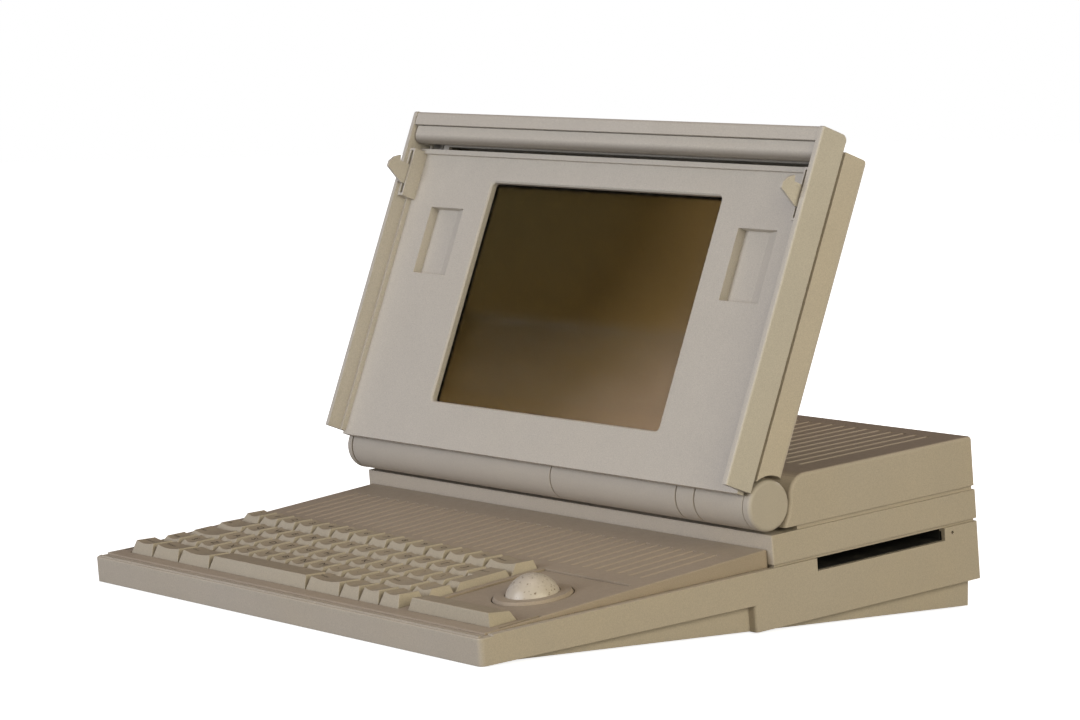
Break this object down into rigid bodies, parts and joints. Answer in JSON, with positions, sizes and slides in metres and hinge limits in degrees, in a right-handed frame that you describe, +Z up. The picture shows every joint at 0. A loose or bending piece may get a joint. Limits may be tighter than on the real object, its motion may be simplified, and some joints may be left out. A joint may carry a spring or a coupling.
{
  "type": "luggable computer",
  "caption": "Wedge-shaped portable computer with a keyboard, a trackball and a disk slot, and a flat display that folds down on a barrel hinge.",
  "frame": {"origin": "on the ground, under the centre of the outer box", "axes": "+X to the right of the user who faces the screen, +Y from the front edge to the back, +Z up"},
  "size_m": [0.387, 0.3516, 0.275],
  "materials": {
    "case": "fine-grained warm grey, slightly yellowed",
    "deck": "fine-grained taupe grey",
    "bezel": "fine-grained warm grey",
    "barrel": "smooth matt warm grey",
    "keys": "matt, slightly worn",
    "ball_ring": "smooth matt",
    "ball": "glossy, faintly speckled",
    "screen": "tinted, glossy",
    "lcd": "dull brown, unlit",
    "dark_plastic": "plain black",
    "rubber": "matt",
    "metal_plate": "plain pressed sheet",
    "steel": "turned",
    "board": "green solder mask"
  },
  "bodies": {
    "base": {"bottom_case": "case", "rubber_feet": "rubber", "keyboard_deck": "deck", "keyboard_plate": "metal_plate", "key_switches": "dark_plastic", "trackball_panel": "deck", "trackball_socket": "dark_plastic", "mid_band": "case", "rear_cover": "case", "barrel_centre": "barrel", "barrel_right": "barrel", "barrel_caps": "barrel", "hinge_shaft": "steel", "disk_drive": "dark_plastic", "logic_board": "board", "hard_disk": "metal_plate", "battery": "dark_plastic", "speaker": "dark_plastic", "port_sockets": "dark_plastic"},
    "display": {"display_front_shell": "bezel", "display_rear_shell": "case", "screen_glass": "screen", "lcd_panel": "lcd", "display_chassis": "metal_plate", "display_screws": "steel", "display_board": "board", "barrel_left": "barrel", "barrel_ring": "barrel", "latch_springs": "steel"},
    "latch": {"latch_bar": "bezel", "latch_hooks": "bezel"},
    "handle": {"carry_handle": "bezel", "handle_arms": "steel"},
    "ring": {"trackball_ring": "ball_ring"},
    "ball": {"trackball": "ball"},
    "roller_b": {"roller_back": "steel"},
    "roller_l": {"roller_left": "steel"},
    "button": {"trackball_button": "keys"},
    "body_number_keys": {"number_keys": "keys"},
    "body_upper_letter_keys": {"upper_letter_keys": "keys"},
    "body_home_letter_keys": {"home_letter_keys": "keys"},
    "body_lower_letter_keys": {"lower_letter_keys": "keys"},
    "body_delete_key": {"delete_key": "keys"},
    "body_tab_key": {"tab_key": "keys"},
    "body_caps_key": {"caps_key": "keys"},
    "body_left_shift_key": {"left_shift_key": "keys"},
    "body_right_shift_key": {"right_shift_key": "keys"},
    "body_arrow_up_key": {"arrow_up_key": "keys"},
    "body_control_key": {"control_key": "keys"},
    "body_option_key": {"option_key": "keys"},
    "body_command_key": {"command_key": "keys"},
    "body_space_bar": {"space_bar": "keys"},
    "body_enter_key": {"enter_key": "keys"},
    "body_arrow_left_key": {"arrow_left_key": "keys"},
    "body_arrow_down_key": {"arrow_down_key": "keys"},
    "body_arrow_right_key": {"arrow_right_key": "keys"},
    "body_return_key": {"return_key": "keys"}
  },
  "joints": [
    {"name": "display_hinge", "type": "hinge", "parent": "base", "child": "display", "pos_m": [0, 0.01787, 0.06986], "axis": [1, 0, 0], "range_deg": [-20, 115]},
    {"name": "latch_slide", "type": "slide", "parent": "display", "child": "latch", "axis": [0, -0.3322, -0.9432], "range_m": [0, 0.0028], "stiffness_N_per_m": 600, "springref_m": -0.004},
    {"name": "handle_slide", "type": "slide", "parent": "display", "child": "handle", "axis": [0, 0.3322, 0.9432], "range_m": [0, 0.028]},
    {"name": "ring_twist", "type": "hinge", "parent": "base", "child": "ring", "pos_m": [0.14341, -0.10425, 0.02234], "axis": [0, -0.1478, 0.989], "range_deg": [0, 30]},
    {"name": "ball_roll", "type": "hinge", "parent": "base", "child": "ball", "pos_m": [0.14341, -0.10425, 0.02234], "axis": [1, 0, 0], "continuous": true},
    {"name": "roller_back_spin", "type": "hinge", "parent": "base", "child": "roller_b", "pos_m": [0.14341, -0.08754, 0.01577], "axis": [1, 0, 0], "continuous": true},
    {"name": "roller_left_spin", "type": "hinge", "parent": "base", "child": "roller_l", "pos_m": [0.12787, -0.10292, 0.01347], "axis": [0, 0.989, 0.1478], "continuous": true},
    {"name": "button_press", "type": "slide", "parent": "base", "child": "button", "axis": [0, 0.1478, -0.989], "range_m": [0, 0.0015], "stiffness_N_per_m": 400, "springref_m": -0.001},
    {"name": "number_keys_press", "type": "slide", "parent": "base", "child": "body_number_keys", "axis": [0, 0.1478, -0.989], "range_m": [0, 0.0035], "stiffness_N_per_m": 1300, "springref_m": -0.0025},
    {"name": "upper_letter_keys_press", "type": "slide", "parent": "base", "child": "body_upper_letter_keys", "axis": [0, 0.1478, -0.989], "range_m": [0, 0.0035], "stiffness_N_per_m": 1200, "springref_m": -0.0025},
    {"name": "home_letter_keys_press", "type": "slide", "parent": "base", "child": "body_home_letter_keys", "axis": [0, 0.1478, -0.989], "range_m": [0, 0.0035], "stiffness_N_per_m": 1200, "springref_m": -0.0025},
    {"name": "lower_letter_keys_press", "type": "slide", "parent": "base", "child": "body_lower_letter_keys", "axis": [0, 0.1478, -0.989], "range_m": [0, 0.0035], "stiffness_N_per_m": 1100, "springref_m": -0.0025},
    {"name": "delete_key_press", "type": "slide", "parent": "base", "child": "body_delete_key", "axis": [0, 0.1478, -0.989], "range_m": [0, 0.0035], "stiffness_N_per_m": 100, "springref_m": -0.0025},
    {"name": "tab_key_press", "type": "slide", "parent": "base", "child": "body_tab_key", "axis": [0, 0.1478, -0.989], "range_m": [0, 0.0035], "stiffness_N_per_m": 100, "springref_m": -0.0025},
    {"name": "caps_key_press", "type": "slide", "parent": "base", "child": "body_caps_key", "axis": [0, 0.1478, -0.989], "range_m": [0, 0.0035], "stiffness_N_per_m": 100, "springref_m": -0.0025},
    {"name": "left_shift_key_press", "type": "slide", "parent": "base", "child": "body_left_shift_key", "axis": [0, 0.1478, -0.989], "range_m": [0, 0.0035], "stiffness_N_per_m": 100, "springref_m": -0.0025},
    {"name": "right_shift_key_press", "type": "slide", "parent": "base", "child": "body_right_shift_key", "axis": [0, 0.1478, -0.989], "range_m": [0, 0.0035], "stiffness_N_per_m": 100, "springref_m": -0.0025},
    {"name": "arrow_up_key_press", "type": "slide", "parent": "base", "child": "body_arrow_up_key", "axis": [0, 0.1478, -0.989], "range_m": [0, 0.0035], "stiffness_N_per_m": 100, "springref_m": -0.0025},
    {"name": "control_key_press", "type": "slide", "parent": "base", "child": "body_control_key", "axis": [0, 0.1478, -0.989], "range_m": [0, 0.0035], "stiffness_N_per_m": 100, "springref_m": -0.0025},
    {"name": "option_key_press", "type": "slide", "parent": "base", "child": "body_option_key", "axis": [0, 0.1478, -0.989], "range_m": [0, 0.0035], "stiffness_N_per_m": 100, "springref_m": -0.0025},
    {"name": "command_key_press", "type": "slide", "parent": "base", "child": "body_command_key", "axis": [0, 0.1478, -0.989], "range_m": [0, 0.0035], "stiffness_N_per_m": 100, "springref_m": -0.0025},
    {"name": "space_bar_press", "type": "slide", "parent": "base", "child": "body_space_bar", "axis": [0, 0.1478, -0.989], "range_m": [0, 0.0035], "stiffness_N_per_m": 100, "springref_m": -0.0025},
    {"name": "enter_key_press", "type": "slide", "parent": "base", "child": "body_enter_key", "axis": [0, 0.1478, -0.989], "range_m": [0, 0.0035], "stiffness_N_per_m": 100, "springref_m": -0.0025},
    {"name": "arrow_left_key_press", "type": "slide", "parent": "base", "child": "body_arrow_left_key", "axis": [0, 0.1478, -0.989], "range_m": [0, 0.0035], "stiffness_N_per_m": 100, "springref_m": -0.0025},
    {"name": "arrow_down_key_press", "type": "slide", "parent": "base", "child": "body_arrow_down_key", "axis": [0, 0.1478, -0.989], "range_m": [0, 0.0035], "stiffness_N_per_m": 100, "springref_m": -0.0025},
    {"name": "arrow_right_key_press", "type": "slide", "parent": "base", "child": "body_arrow_right_key", "axis": [0, 0.1478, -0.989], "range_m": [0, 0.0035], "stiffness_N_per_m": 100, "springref_m": -0.0025},
    {"name": "return_key_press", "type": "slide", "parent": "base", "child": "body_return_key", "axis": [0, 0.1478, -0.989], "range_m": [0, 0.0035], "stiffness_N_per_m": 100, "springref_m": -0.0025}
  ],
  "couplings": [
    {"joint": "roller_back_spin", "follows": "ball_roll", "ratio": -7.8}
  ]
}
